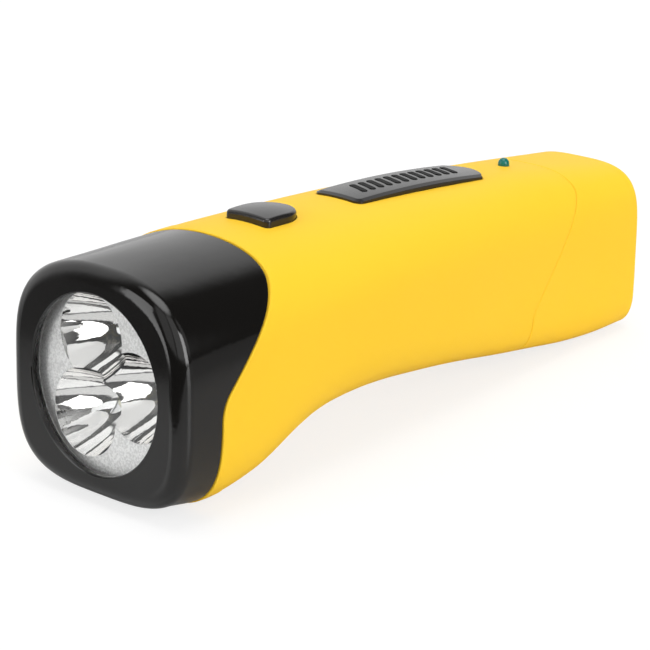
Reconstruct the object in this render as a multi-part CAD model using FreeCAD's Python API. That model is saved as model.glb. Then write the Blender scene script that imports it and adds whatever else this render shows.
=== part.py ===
import FreeCAD, Part
import math
import os

# Rechargeable hand torch: a one-piece yellow barrel with a black bezel in front, three LEDs behind a
# round lens, a push switch and a charge lamp on top, and a mains plug under a pull-off tail cap.
# Millimetres. X is the width, the beam leaves along -Y, Z is up. Everything is laid out by its
# distance behind the bezel's front face, and save() moves the origin to the lens's outer face.

# ---- driving dimensions: the outside ----
LENGTH = 178.4
HEAD_WIDTH = 59.8
WALL = 2.2
FIT_GAP = 0.15
SEAM_GAP = 0.2
BEZEL_SINK = 0.12
COLLAR_RISE = 0.12
COLLAR_LENGTH = 5.0
SEAM_ROUND = 0.35
FRONT_ROUND = 4.0
TAIL_ROUND = 2.0

# Profiles of the outside, as (distance behind the front face, value) that a smooth curve joins,
# drawn for a torch PROFILE_LENGTH long and PROFILE_WIDTH wide and stretched to the sizes above.
TOP_LINE = [(0, 27.6), (20, 29.1), (53, 30.5), (88, 31.2), (132, 30.05), (178.4, 27.2)]
UNDERSIDE = [(0, -28.7), (8, -28.0), (18, -28.0), (32, -23.6), (44, -17.4), (58, -13.7),
             (74, -12.8), (97, -13.55), (132, -16.5), (158, -18.1), (178.4, -17.1)]
HALF_WIDTH = [(0, 29.75), (21, 29.9), (53, 29.35), (88, 26.95), (132, 22.8), (178.4, 20.3)]
# How square each section is: 2 is round, and more is flatter with tighter corners.
CROWN_SQUARENESS = [(0, 2.55), (21, 2.0), (62, 2.12), (132, 2.8), (178.4, 3.4)]
SIDE_SQUARENESS = [(0, 3.0), (21, 3.8), (62, 3.1), (132, 3.2), (178.4, 4.4)]
LOW_SQUARENESS = [(0, 3.5), (21, 3.55), (62, 3.3), (132, 4.85), (178.4, 6.3)]
PROFILE_LENGTH = 178.4
PROFILE_WIDTH = 59.8
STATIONS = 20
POINTS_ROUND = 36

# ---- driving dimensions: bezel, lens and reflector ----
SEAM_TOP = 35.6
SEAM_LOW = 12.9
SEAM_BEND_TOP = 26.4
SEAM_BEND_LOW = -1.05
SEAM_BEND_ROUND = 11.0
SPIGOT_LENGTH = 6.0
SPIGOT_WALL = 1.25
BEZEL_RIM = 8.4
FRONT_WALL = 2.0
LENS_RECESS = 1.4
LENS_LAP = 2.9
LENS_THICK = 1.8
LENS_GAP = 0.1
MOUTH_ROUND = 0.4
LENS_SEAT_WALL = 1.5
HOOK_REACH = 0.7
HOOK_LENGTH = 1.4
REFLECTOR_PLATE = 1.6
REFLECTOR_RELIEF = 0.1
REFLECTOR_RIM = 1.6
CUP_R = 10.7
CUP_DEPTH = 15.0
CUP_TURN = 23
BOARD_BEHIND_CUP = 4.0
CUP_WALL = 1.1
BOARD_THICK = 1.6
LED_R = 2.5
LED_HEIGHT = 8.0

# ---- driving dimensions: switch ----
BUTTON_FRONT = 48.6
BUTTON_WIDTH = 14.6
BUTTON_STRAIGHT = 6.9
BUTTON_PROUD = 2.3
BUTTON_GAP = 0.2
BUTTON_WALL = 1.4
SPRING_PAD = 0.8
SPRING_COIL = 3.0
SPRING_WIRE = 0.3
FLANGE_REACH = 1.3
SWITCH_SIZE = 8.5
SWITCH_HEIGHT = 8.0
SWITCH_STACK = 19.3
BRACKET_THICK = 1.6
BRACKET_AHEAD = 3.5
BRACKET_LENGTH = 20.0
SWITCH_SCREW_INSET = 8.4
RAIL_GAP = 0.25

# ---- driving dimensions: badge and charge lamp ----
BADGE_FRONT_SHARE = 0.4473
BADGE_TO_LAMP = 14.1
BADGE_WIDTH = 15.6
BADGE_BOW = 3.6
BADGE_CORNER = 2.2
BADGE_PROUD = 1.5
BADGE_PROUD_ENDS = 0.9
BADGE_CROWN_R = 70.0
BADGE_SINK = 0.4
BADGE_BEVEL_WIDE = 1.1
BADGE_BEVEL_HIGH = 0.4
BADGE_PEG_R = 1.3
CHARGE_LED_INSET = 8.2
CHARGE_LED_UNDER_ROOF = 1.3
CHARGE_LED_R = 1.5
CHARGE_LED_PROUD = 2.1

# ---- driving dimensions: battery ----
BATTERY_FRONT = 68.0
BATTERY_SIDE_ROOM = 25.8
BATTERY_HEIGHT = 24.0
BATTERY_FLOOR = -8.5
BATTERY_GAP = 0.3
PAD_THICK = 2.4
KEEPER_THICK = 1.8

# ---- driving dimensions: plug and tail cap ----
CAP_LENGTH_LOW = 47.0
CAP_LENGTH_TOP = 25.0
CAP_BEND_LOW = -4.0
CAP_BEND_TOP = 24.4
CAP_BEND_ROUND = 5.0
PLUG_SCREW_INSET = 17.4
PLUG_CLEAR = 1.1
PLUG_CLEAR_TOP = 1.6
PLUG_CLEAR_LOW = 1.4
PLUG_CORNER_TOP = 11.0
PLUG_CORNER_LOW = 8.0
PLUG_EDGE_ROUND = 0.6
GRIP_GAP = 0.2
PLUG_BOSS_LENGTH = 8.8
PLUG_WALL = 1.6
PLUG_FACE_THICK = 2.5
PLUG_ENTRY = 5.0
BLADE_WIDTH = 6.35
BLADE_THICK = 1.5
BLADE_LENGTH = 16.5
BLADE_CLEAR = 3.7
BLADE_SPACING = 12.7
BLADE_HOLE_R = 1.6
BLADE_POINT = 1.3
BLADE_TAB = 3.5
CHARGE_BOARD_FLOOR = 10.0
CHARGE_BOARD_LENGTH = 25.5
CHARGE_BOARD_WIDTH = 30.0

# ---- driving dimensions: screws and wires ----
SCREW_R = 1.25
SCREW_HEAD_R = 2.3
SCREW_HEAD = 1.6
PILOT_R = 1.3
WIRE_R = 0.7

FAR = 80.0

os.makedirs("parts", exist_ok=True)


def at(x, y, z):
    return FreeCAD.Vector(x, y, z)


def save(name, shapes):
    """Move the origin to the lens's outer face and write one node."""
    solids = shapes if isinstance(shapes, list) else [shapes]
    found = [solid for shape in solids for solid in shape.Solids]
    node = found[0] if len(found) == 1 else Part.makeCompound(found)
    node = node.copy()
    node.translate(at(0, -LENS_RECESS, 0))
    node.exportStep(f"parts/{name}.step")
    valid = all(solid.isValid() for solid in found)
    print(f"{name:24s} solids {len(found)}  volume {node.Volume:10.2f}  valid {valid}")


# ---- the outside as a formula ----
def smooth(knots, y):
    """Value at y of a smooth curve through the knots that never overshoots them."""
    scaled = [(k * LENGTH / PROFILE_LENGTH, v) for k, v in knots]
    if y <= scaled[0][0]:
        return scaled[0][1]
    if y >= scaled[-1][0]:
        return scaled[-1][1]
    steps = [(b[0] - a[0], (b[1] - a[1]) / (b[0] - a[0])) for a, b in zip(scaled, scaled[1:])]
    slopes = [steps[0][1]]
    for (h0, d0), (h1, d1) in zip(steps, steps[1:]):
        if d0 * d1 <= 0:
            slopes.append(0.0)
        else:
            w0, w1 = 2 * h1 + h0, h1 + 2 * h0
            slopes.append((w0 + w1) / (w0 / d0 + w1 / d1))
    slopes.append(steps[-1][1])
    i = max(k for k in range(len(steps)) if scaled[k][0] <= y)
    h, (y0, v0), (_, v1) = steps[i][0], scaled[i], scaled[i + 1]
    t = (y - y0) / h
    return (v0 * (1 + 2 * t) * (1 - t) ** 2 + v1 * t * t * (3 - 2 * t)
            + h * slopes[i] * t * (1 - t) ** 2 - h * slopes[i + 1] * t * t * (1 - t))


def half_width(y):
    return smooth(HALF_WIDTH, y) * HEAD_WIDTH / PROFILE_WIDTH


def top_height(y, x=0.0, grow=0.0):
    """Height of the outside's upper surface at x, y, grown outwards by grow."""
    high, low = smooth(TOP_LINE, y) + grow, smooth(UNDERSIDE, y) - grow
    crown, side = smooth(CROWN_SQUARENESS, y), smooth(SIDE_SQUARENESS, y)
    share = abs(x / (half_width(y) + grow)) ** crown
    return (high + low) / 2 + (high - low) / 2 * (1 - share) ** (1 / side)


def outline_reach(across, up, crown, side):
    """How far the curve across^crown + up^side = 1 lies in the direction (across, up), by halving."""
    near, far = 0.0, 2 / max(across, up)
    for _ in range(50):
        middle = (near + far) / 2
        if (middle * across) ** crown + (middle * up) ** side < 1:
            near = middle
        else:
            far = middle
    return near


def section(y, grow):
    """Closed smooth outline of the outside at y, grown outwards by grow."""
    high, low = smooth(TOP_LINE, y) + grow, smooth(UNDERSIDE, y) - grow
    half = half_width(y) + grow
    rise, centre = (high - low) / 2, (high + low) / 2
    below = smooth(LOW_SQUARENESS, y)
    above = (smooth(CROWN_SQUARENESS, y), smooth(SIDE_SQUARENESS, y))
    points = []
    for k in range(POINTS_ROUND):
        angle = 2 * math.pi * k / POINTS_ROUND - math.pi / 2
        c, s = math.cos(angle), math.sin(angle)
        crown, side = above if s >= 0 else (below, below)
        reach = outline_reach(abs(c / half), abs(s / rise), crown, side)
        points.append(at(reach * c, y, centre + reach * s))
    curve = Part.BSplineCurve()
    curve.interpolate(points, PeriodicFlag=True)
    return Part.Wire([curve.toShape()])


made_hulls = {}


def hull(grow, start=0.0, end=LENGTH):
    """Solid of the whole outside, grown by grow, from start to end, through the same stations each time."""
    key = (round(grow, 4), start, end)
    if key not in made_hulls:
        ys = [start] + [LENGTH * k / STATIONS for k in range(1, STATIONS)] + [end]
        made_hulls[key] = Part.makeLoft([section(y, grow) for y in ys], True, False)
    return made_hulls[key].copy()


# ---- shared shapes ----
def rounded(points, radii, closed):
    """Straight runs joined by tangent arcs, one radius for each point."""
    count = len(points)
    corners = []
    for k in range(count):
        if (not closed and k in (0, count - 1)) or radii[k] == 0:
            corners.append((points[k], None, points[k]))
            continue
        a = (points[k - 1] - points[k]).normalize()
        b = (points[(k + 1) % count] - points[k]).normalize()
        half = a.getAngle(b) / 2
        axis = (a + b).normalize()
        cut = radii[k] / math.tan(half)
        middle = points[k] + axis * (radii[k] / math.sin(half) - radii[k])
        corners.append((points[k] + a * cut, middle, points[k] + b * cut))
    edges = []
    for k, (start, middle, end) in enumerate(corners):
        if middle:
            edges.append(Part.Arc(start, middle, end).toShape())
        if k + 1 < count or closed:
            onward = corners[(k + 1) % count][0]
            if (onward - end).Length > 1e-6:
                edges.append(Part.LineSegment(end, onward).toShape())
    return Part.Wire(edges)


def in_front_of(line, shift=0.0):
    """Everything ahead of a seam drawn in side view from its low end to its high end."""
    (low_y, low_z), (high_y, high_z), bend = line
    points = [at(-FAR, -FAR, -FAR), at(-FAR, low_y + shift, -FAR), at(-FAR, low_y + shift, low_z),
              at(-FAR, high_y + shift, high_z), at(-FAR, high_y + shift, FAR), at(-FAR, -FAR, FAR)]
    outline = rounded(points, [0, 0, bend, bend, 0, 0], True)
    return Part.Face(outline).extrude(at(2 * FAR, 0, 0))


CAP_SEAM_LOW = LENGTH - CAP_LENGTH_LOW
CAP_SEAM_TOP = LENGTH - CAP_LENGTH_TOP
BEZEL_SEAM = ((SEAM_LOW, SEAM_BEND_LOW), (SEAM_TOP, SEAM_BEND_TOP), SEAM_BEND_ROUND)
CAP_SEAM = ((CAP_SEAM_LOW, CAP_BEND_LOW), (CAP_SEAM_TOP, CAP_BEND_TOP), CAP_BEND_ROUND)


def box(x0, x1, y0, y1, z0, z1):
    return Part.makeBox(x1 - x0, y1 - y0, z1 - z0, at(x0, y0, z0))


def rod(x, z, y0, y1, r):
    """Cylinder along Y."""
    return Part.makeCylinder(r, y1 - y0, at(x, y0, z), at(0, 1, 0))


def post(x, y, z0, z1, r):
    """Cylinder along Z."""
    return Part.makeCylinder(r, z1 - z0, at(x, y, z0), at(0, 0, 1))


def fuse(shapes):
    return shapes[0].multiFuse(shapes[1:]).removeSplitter()


def edges_at(shape, test):
    return [edge for edge in shape.Edges if test(edge.BoundBox)]


def rim_edges(shape, tool, depth):
    """Edges that tool's cut left in the outside of shape; hull(-depth) tells them from the inner ones."""
    core = hull(-depth, -1, LENGTH + 1)
    found = []
    for edge in shape.Edges:
        span = edge.LastParameter - edge.FirstParameter
        spots = [edge.valueAt(edge.FirstParameter + span * share) for share in (0.17, 0.5, 0.83)]
        if all(tool.distToShape(Part.Vertex(spot))[0] < 0.01 for spot in spots):
            if not core.isInside(spots[1], 0.01, True):
                found.append(edge)
    return found


def screw(x, z, y, length, back=1):
    """Pan-head screw along Y whose head seats at y; back is the side that the head lies on."""
    shank = rod(x, z, min(y, y - back * length), max(y, y - back * length), SCREW_R)
    head = rod(x, z, min(y, y + back * SCREW_HEAD), max(y, y + back * SCREW_HEAD), SCREW_HEAD_R)
    slot = SCREW_HEAD_R * 0.55
    tip = y + back * SCREW_HEAD
    cut = [box(x - slot, x + slot, tip - 0.8, tip + 0.8, z - 0.3, z + 0.3),
           box(x - 0.3, x + 0.3, tip - 0.8, tip + 0.8, z - slot, z + slot)]
    return shank.fuse(head).cut(cut)


def wire_run(points, radius=WIRE_R):
    """Insulated wire along straight runs and tangent arcs."""
    radii = [0]
    for a, b, c in zip(points, points[1:], points[2:]):
        turn = math.pi - (a - b).getAngle(c - b)
        shorter = min((a - b).Length, (c - b).Length)
        radii.append(0.45 * shorter / math.tan(turn / 2))
    print("wire bends", " ".join(f"{r:.1f}" for r in radii[1:]))
    path = rounded(points, radii + [0], False)
    start = Part.Circle(points[0], points[1] - points[0], radius).toShape()
    return path.makePipeShell([Part.Wire([start])], True, True)


# ---- bezel: black moulding that holds the lens and reflector and plugs into the barrel ----
LENS_OPENING_R = HEAD_WIDTH / 2 - BEZEL_RIM
LENS_R = LENS_OPENING_R + LENS_LAP
POCKET_R = LENS_R + LENS_GAP
LENS_BACK = LENS_RECESS + LENS_THICK
PLATE_BACK = LENS_BACK + REFLECTOR_PLATE
HOOK_AT = PLATE_BACK + 0.05
COLLAR_END = HOOK_AT + HOOK_LENGTH
SPIGOT_OUT = -(WALL + FIT_GAP)
SPIGOT_IN = SPIGOT_OUT - SPIGOT_WALL
LUG_RISE = 0.8
LUGS = [("side", 1), ("side", -1), ("top", 1), ("bottom", -1)]


def lug(place, sign, clearance=0.0):
    """Snap lug on the spigot, or its pocket in the barrel when clearance is given."""
    c = clearance
    reach = LUG_RISE + c
    half = 4.0 + c
    if place == "side":
        y = SEAM_LOW + SPIGOT_LENGTH / 2
        surface = half_width(y) + SPIGOT_OUT
        lo, hi = sorted([sign * (surface - 1.0), sign * (surface + reach)])
        return box(lo, hi, y - 0.9 - c, y + 0.9 + c, -8 - half, -8 + half)
    if place == "top":
        y = SEAM_TOP + SPIGOT_LENGTH / 2
        surface = smooth(TOP_LINE, y) + SPIGOT_OUT
        return box(-half, half, y - 0.9 - c, y + 0.9 + c, surface - 1.0, surface + reach)
    y = SEAM_LOW + SPIGOT_LENGTH / 2
    surface = smooth(UNDERSIDE, y) - SPIGOT_OUT
    return box(-half, half, y - 0.9 - c, y + 0.9 + c, surface - reach, surface + 1.0)


def make_bezel():
    behind = in_front_of(BEZEL_SEAM, LENGTH).cut(in_front_of(BEZEL_SEAM, -SEAM_GAP))
    skin = hull(-BEZEL_SINK).cut(behind)
    skin = skin.makeFillet(SEAM_ROUND, rim_edges(skin, behind, WALL))
    skin = skin.makeFillet(FRONT_ROUND, edges_at(skin, lambda b: b.YMax < 0.01))
    spigot = hull(SPIGOT_OUT).common(in_front_of(BEZEL_SEAM, SPIGOT_LENGTH))
    spigot = spigot.cut(box(-FAR, FAR, -1, LENS_BACK, -FAR, FAR))
    solid = fuse([skin, spigot] + [lug(place, sign) for place, sign in LUGS])
    hollow = hull(SPIGOT_IN).cut(box(-FAR, FAR, -1, FRONT_WALL, -FAR, FAR))
    solid = solid.cut(hollow)
    collar = rod(0, 0, LENS_RECESS, COLLAR_END, POCKET_R + LENS_SEAT_WALL)
    collar = collar.common(hull(SPIGOT_OUT))
    solid = solid.fuse(collar).cut(rod(0, 0, LENS_RECESS, COLLAR_END + 1, POCKET_R))
    solid = solid.cut(rod(0, 0, -1, LENS_RECESS + 1, LENS_OPENING_R))
    hooks = []
    for k in range(4):
        ring = rod(0, 0, HOOK_AT, COLLAR_END, POCKET_R + 0.5)
        ring = ring.cut(rod(0, 0, HOOK_AT - 1, COLLAR_END + 1, LENS_R - HOOK_REACH))
        wedge = Part.makeCylinder(FAR, 4, at(0, HOOK_AT - 1, 0), at(0, 1, 0), 20)
        wedge.rotate(at(0, 0, 0), at(0, 1, 0), 35 + 90 * k)
        hooks.append(ring.common(wedge))
    solid = fuse([solid] + hooks)
    mouth = edges_at(solid, lambda b: b.YMax < 0.01 and abs(b.XMax - LENS_OPENING_R) < 0.01)
    return solid.makeFillet(MOUTH_ROUND, mouth)


# ---- barrel: one yellow moulding, open at both ends ----
def d_outline(grow, z):
    """The push button's outline: straight in front, round behind."""
    half = BUTTON_WIDTH / 2 + grow
    front, bend = BUTTON_FRONT - grow, BUTTON_FRONT + BUTTON_STRAIGHT
    edge = 1.5
    edges = [Part.LineSegment(at(half - edge, front, z), at(-half + edge, front, z)).toShape(),
             Part.Arc(at(-half + edge, front, z), at(-half + edge * 0.293, front + edge * 0.293, z),
                      at(-half, front + edge, z)).toShape(),
             Part.LineSegment(at(-half, front + edge, z), at(-half, bend, z)).toShape(),
             Part.Arc(at(-half, bend, z), at(0, bend + half, z), at(half, bend, z)).toShape(),
             Part.LineSegment(at(half, bend, z), at(half, front + edge, z)).toShape(),
             Part.Arc(at(half, front + edge, z), at(half - edge * 0.293, front + edge * 0.293, z),
                      at(half - edge, front, z)).toShape()]
    return Part.Face(Part.Wire(edges))


def badge_prism(inset, z0, z1):
    """The badge's outline: straight in front, bowed behind, with rounded corners."""
    half, corner = BADGE_WIDTH / 2 - inset, BADGE_CORNER - inset
    front, tip = BADGE_FRONT + inset, BADGE_FRONT + BADGE_LENGTH - inset
    bend = tip - BADGE_BOW
    tilt = corner * 0.293
    edges = [Part.LineSegment(at(half - corner, front, z0), at(-half + corner, front, z0)).toShape(),
             Part.Arc(at(-half + corner, front, z0), at(-half + tilt, front + tilt, z0),
                      at(-half, front + corner, z0)).toShape(),
             Part.LineSegment(at(-half, front + corner, z0), at(-half, bend, z0)).toShape(),
             Part.Arc(at(-half, bend, z0), at(0, tip, z0), at(half, bend, z0)).toShape(),
             Part.LineSegment(at(half, bend, z0), at(half, front + corner, z0)).toShape(),
             Part.Arc(at(half, front + corner, z0), at(half - tilt, front + tilt, z0),
                      at(half - corner, front, z0)).toShape()]
    return Part.Face(Part.Wire(edges)).extrude(at(0, 0, z1 - z0))


BUTTON_MIDDLE = BUTTON_FRONT + BUTTON_STRAIGHT
BUTTON_TOP = top_height(BUTTON_MIDDLE) + BUTTON_PROUD
SWITCH_FLOOR = BUTTON_TOP - SWITCH_STACK
BRACKET_FLOOR = SWITCH_FLOOR - BRACKET_THICK
BRACKET_FRONT = BUTTON_FRONT - BRACKET_AHEAD
BRACKET_REAR = BRACKET_FRONT + BRACKET_LENGTH
SWITCH_BLOCK_FRONT = BRACKET_FRONT + BRACKET_THICK + 0.1
SWITCH_SCREW_X = HEAD_WIDTH / 2 - SWITCH_SCREW_INSET
SWITCH_SCREW_Z = BRACKET_FLOOR - 3.6

PLUG_FACE = LENGTH - WALL - BLADE_CLEAR - BLADE_LENGTH
PLUG_WALL_FRONT = PLUG_FACE - PLUG_FACE_THICK
PLUG_BOSS_END = CAP_SEAM_LOW - PLUG_ENTRY - 0.2
PLUG_SCREW_X = HEAD_WIDTH / 2 - PLUG_SCREW_INSET
PLUG_SCREW_Z = -8.0
CHARGE_BOARD_REAR = PLUG_WALL_FRONT - 1.0
CHARGE_BOARD_FRONT = CHARGE_BOARD_REAR - CHARGE_BOARD_LENGTH
CHARGE_LED_AT = CHARGE_BOARD_REAR - CHARGE_LED_INSET
CHARGE_LED_TOP = top_height(CHARGE_LED_AT) + CHARGE_LED_PROUD
CHARGE_LED_BASE = top_height(CHARGE_LED_AT) - WALL - CHARGE_LED_UNDER_ROOF
BOARD_TOP = CHARGE_BOARD_FLOOR + BOARD_THICK

BATTERY_REAR = PLUG_BOSS_END - PLUG_BOSS_LENGTH
BATTERY_TOP = BATTERY_FLOOR + BATTERY_HEIGHT
BATTERY_WIDTH = HEAD_WIDTH - BATTERY_SIDE_ROOM
KEEPER_SCREW_X = BATTERY_WIDTH / 2 + 3.8
KEEPER_Z = -1.0

BADGE_FRONT = LENGTH * BADGE_FRONT_SHARE
BADGE_LENGTH = CHARGE_LED_AT - BADGE_TO_LAMP - BADGE_FRONT
BADGE_PEGS = [BADGE_FRONT + BADGE_LENGTH * 0.22, BADGE_FRONT + BADGE_LENGTH * 0.78]


def inner_ribs():
    """Rails for the battery and the switch bracket, and the bosses that screws bite into."""
    ribs = []
    side = BATTERY_WIDTH / 2 + BATTERY_GAP
    low, high = BATTERY_FLOOR - 0.05, BATTERY_TOP + PAD_THICK
    y0, y1 = BATTERY_FRONT + 2, BATTERY_REAR
    for z in (BATTERY_FLOOR + 5, BATTERY_TOP - 5):
        ribs.append(box(side, FAR, y0 + 8, y1, z - 0.8, z + 0.8))
        ribs.append(box(-FAR, -side, y0 + 8, y1, z - 0.8, z + 0.8))
    for x in (-9.0, 9.0):
        ribs.append(box(x - 0.8, x + 0.8, y0, y1, -FAR, low))
    for x in (-6.0, 6.0):
        ribs.append(box(x - 0.8, x + 0.8, y0 + 6, y1, high, FAR))
    for x in (-KEEPER_SCREW_X, KEEPER_SCREW_X):
        ribs.append(rod(x, KEEPER_Z, BATTERY_FRONT, BATTERY_FRONT + 9, 2.8))
        ribs.append(box(min(x, 2 * x), max(x, 2 * x), BATTERY_FRONT, BATTERY_FRONT + 9,
                        KEEPER_Z - 0.8, KEEPER_Z + 0.8))
    for x in (-PLUG_SCREW_X, PLUG_SCREW_X):
        ribs.append(rod(x, PLUG_SCREW_Z, BATTERY_REAR + 0.1, PLUG_BOSS_END, 3.2))
        ribs.append(box(min(x, 3 * x), max(x, 3 * x), BATTERY_REAR + 0.1, PLUG_BOSS_END,
                        PLUG_SCREW_Z - 0.8, PLUG_SCREW_Z + 0.8))
    for sign in (-1, 1):
        x0, x1 = sorted([sign * 18.5, sign * FAR])
        ribs.append(box(x0, x1, SWITCH_BLOCK_FRONT, BRACKET_REAR, BRACKET_FLOOR - 1.2, BRACKET_FLOOR))
        ribs.append(rod(sign * SWITCH_SCREW_X, SWITCH_SCREW_Z, SWITCH_BLOCK_FRONT,
                        SWITCH_BLOCK_FRONT + 10, 2.6))
        x0, x1 = sorted([sign * SWITCH_SCREW_X, sign * FAR])
        ribs.append(box(x0, x1, SWITCH_BLOCK_FRONT, SWITCH_BLOCK_FRONT + 10,
                        SWITCH_SCREW_Z - 0.8, SWITCH_SCREW_Z + 0.8))
        x0, x1 = sorted([sign * 19.5, sign * FAR])
        upper = BRACKET_FLOOR + BRACKET_THICK + RAIL_GAP
        ribs.append(box(x0, x1, SWITCH_BLOCK_FRONT, BRACKET_REAR, upper, upper + 1.4))
        ribs.append(box(x0, x1, BRACKET_REAR + 0.1, BRACKET_REAR + 1.4, BRACKET_FLOOR - 1.2, upper + 1.4))
    clip = hull(-WALL / 2)
    return [rib.common(clip) for rib in ribs]


def make_barrel():
    rear = in_front_of(CAP_SEAM, -SEAM_GAP / 2)
    ahead = in_front_of(BEZEL_SEAM)
    skin = hull(0).common(rear).cut(ahead)
    collar = hull(COLLAR_RISE).common(in_front_of(BEZEL_SEAM, COLLAR_LENGTH)).cut(ahead)
    tube = fuse([skin, collar]).cut(hull(-WALL, -1, LENGTH + 1))
    tube = fuse([tube] + inner_ribs())
    cuts = [lug(place, sign, FIT_GAP) for place, sign in LUGS]
    cuts.append(d_outline(BUTTON_GAP, 20).extrude(at(0, 0, FAR)))
    pad = hull(1).cut(hull(-BADGE_SINK)).common(badge_prism(-FIT_GAP, 0, FAR))
    cuts.append(pad)
    cuts += [post(0, y, 15, FAR, BADGE_PEG_R + 0.1) for y in BADGE_PEGS]
    cuts.append(post(0, CHARGE_LED_AT, 15, FAR, CHARGE_LED_R + 0.1))
    cuts += [rod(x, KEEPER_Z, BATTERY_FRONT - 1, BATTERY_FRONT + 8, PILOT_R)
             for x in (-KEEPER_SCREW_X, KEEPER_SCREW_X)]
    cuts += [rod(x, PLUG_SCREW_Z, BATTERY_REAR + 0.8, PLUG_BOSS_END + 1, PILOT_R)
             for x in (-PLUG_SCREW_X, PLUG_SCREW_X)]
    cuts += [rod(x, SWITCH_SCREW_Z, SWITCH_BLOCK_FRONT - 1, SWITCH_BLOCK_FRONT + 9, PILOT_R)
             for x in (-SWITCH_SCREW_X, SWITCH_SCREW_X)]
    tube = tube.cut(cuts)
    tube = tube.makeFillet(SEAM_ROUND, rim_edges(tube, ahead, WALL / 2))
    behind = in_front_of(CAP_SEAM, LENGTH).cut(rear)
    return tube.makeFillet(SEAM_ROUND, rim_edges(tube, behind, WALL / 2))


# ---- lens, reflector, LEDs and their board ----
BOARD_FRONT = LENS_BACK + CUP_DEPTH + BOARD_BEHIND_CUP
BOARD_BACK = BOARD_FRONT + BOARD_THICK
CUP_OFFSET = LENS_OPENING_R - CUP_R
LED_BOARD_R = LENS_OPENING_R - 1.0
CUP_ANGLES = [angle + CUP_TURN for angle in (90, 210, 330)]
BOSS_ANGLES = [angle + CUP_TURN for angle in (270, 30, 150)]
BOSS_RADIUS = LED_BOARD_R - 5.0
CHIP_RADIUS = 7.0


def round_place(angle, radius):
    return radius * math.cos(math.radians(angle)), radius * math.sin(math.radians(angle))


def make_lens():
    disc = rod(0, 0, LENS_RECESS, LENS_BACK, LENS_R)
    rim = edges_at(disc, lambda b: b.XLength > LENS_R)
    return disc.makeChamfer(0.2, [edge for edge in rim if edge.Curve.TypeId == "Part::GeomCircle"])


def bowl(x, z, wall, mouth):
    """Solid of revolution of one cup, a parabola that is wall thicker than the mirror."""
    steps = 9
    depth, radius = CUP_DEPTH, CUP_R
    profile = []
    for k in range(steps):
        r = 0.02 + (radius - 0.02) * k / (steps - 1)
        profile.append(at(x + r + wall * (k > 0), LENS_BACK + depth * (1 - (r / radius) ** 2) + wall, z))
    bottom = profile[0].y
    curve = Part.BSplineCurve()
    curve.interpolate(profile)
    rim = profile[-1]
    edges = [curve.toShape(),
             Part.LineSegment(rim, at(rim.x, mouth, z)).toShape(),
             Part.LineSegment(at(rim.x, mouth, z), at(x, mouth, z)).toShape(),
             Part.LineSegment(at(x, mouth, z), at(x, bottom, z)).toShape(),
             Part.LineSegment(at(x, bottom, z), profile[0]).toShape()]
    return Part.Face(Part.Wire(edges)).revolve(at(x, 0, z), at(0, 1, 0), 360)


def make_reflector():
    plate = rod(0, 0, LENS_BACK, PLATE_BACK, LENS_R - 0.15)
    skirt = rod(0, 0, PLATE_BACK, PLATE_BACK + 4, LENS_R - 2.2)
    skirt = skirt.cut(rod(0, 0, PLATE_BACK - 1, PLATE_BACK + 5, LENS_R - 3.4))
    centres = [round_place(angle, CUP_OFFSET) for angle in CUP_ANGLES]
    outer = [bowl(x, z, CUP_WALL, LENS_BACK) for x, z in centres]
    bosses = [round_place(angle, BOSS_RADIUS) for angle in BOSS_ANGLES]
    pillars = [rod(x, z, PLATE_BACK - 0.5, BOARD_FRONT, 2.6) for x, z in bosses]
    solid = fuse([plate, skirt] + outer + pillars)
    cuts = [bowl(x, z, 0, LENS_BACK - 1) for x, z in centres]
    cuts += [rod(x, z, LENS_BACK + 2, BOARD_FRONT + 1, LED_R + 0.15) for x, z in centres]
    cuts.append(rod(0, 0, LENS_BACK - 1, LENS_BACK + REFLECTOR_RELIEF, LENS_R - 0.15 - REFLECTOR_RIM))
    cuts += [rod(x, z, BOARD_FRONT - 6.5, BOARD_FRONT + 1, PILOT_R) for x, z in bosses]
    return solid.cut(cuts)


def make_led_board():
    board = rod(0, 0, BOARD_FRONT, BOARD_BACK, LED_BOARD_R)
    cuts = [rod(*round_place(angle, BOSS_RADIUS), BOARD_FRONT - 1, BOARD_BACK + 1, SCREW_R + 0.2)
            for angle in BOSS_ANGLES]
    for x, z in [round_place(angle, CUP_OFFSET) for angle in CUP_ANGLES]:
        cuts += [rod(x + dx, z, BOARD_FRONT - 1, BOARD_BACK + 1, 0.4) for dx in (-1.27, 1.27)]
    return board.cut(cuts)


def make_white_led(angle):
    """Five-millimetre LED: a flange on the board, a round body and a domed tip towards the lens."""
    x, z = round_place(angle, CUP_OFFSET)
    tip = BOARD_FRONT - LED_HEIGHT
    body = rod(x, z, tip + LED_R, BOARD_FRONT, LED_R)
    dome = Part.makeSphere(LED_R, at(x, tip + LED_R, z))
    flange = rod(x, z, BOARD_FRONT - 1, BOARD_FRONT, LED_R + 0.4)
    return fuse([body, dome, flange])


def make_led_leads():
    leads = []
    for x, z in [round_place(angle, CUP_OFFSET) for angle in CUP_ANGLES]:
        for dx in (-1.27, 1.27):
            pin = rod(x + dx, z, BOARD_FRONT, BOARD_BACK + 0.9, 0.3)
            solder = Part.makeCone(0.85, 0.35, 0.8, at(x + dx, BOARD_BACK, z), at(0, 1, 0))
            leads.append(pin.fuse(solder))
    return leads


def make_led_resistors():
    """One surface-mount resistor for each LED, between the LEDs on the back of the board."""
    chips = []
    for angle in BOSS_ANGLES:
        x, z = round_place(angle, CHIP_RADIUS)
        chips.append(box(x - 1.6, x + 1.6, BOARD_BACK, BOARD_BACK + 0.6, z - 0.8, z + 0.8))
    return chips


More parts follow.
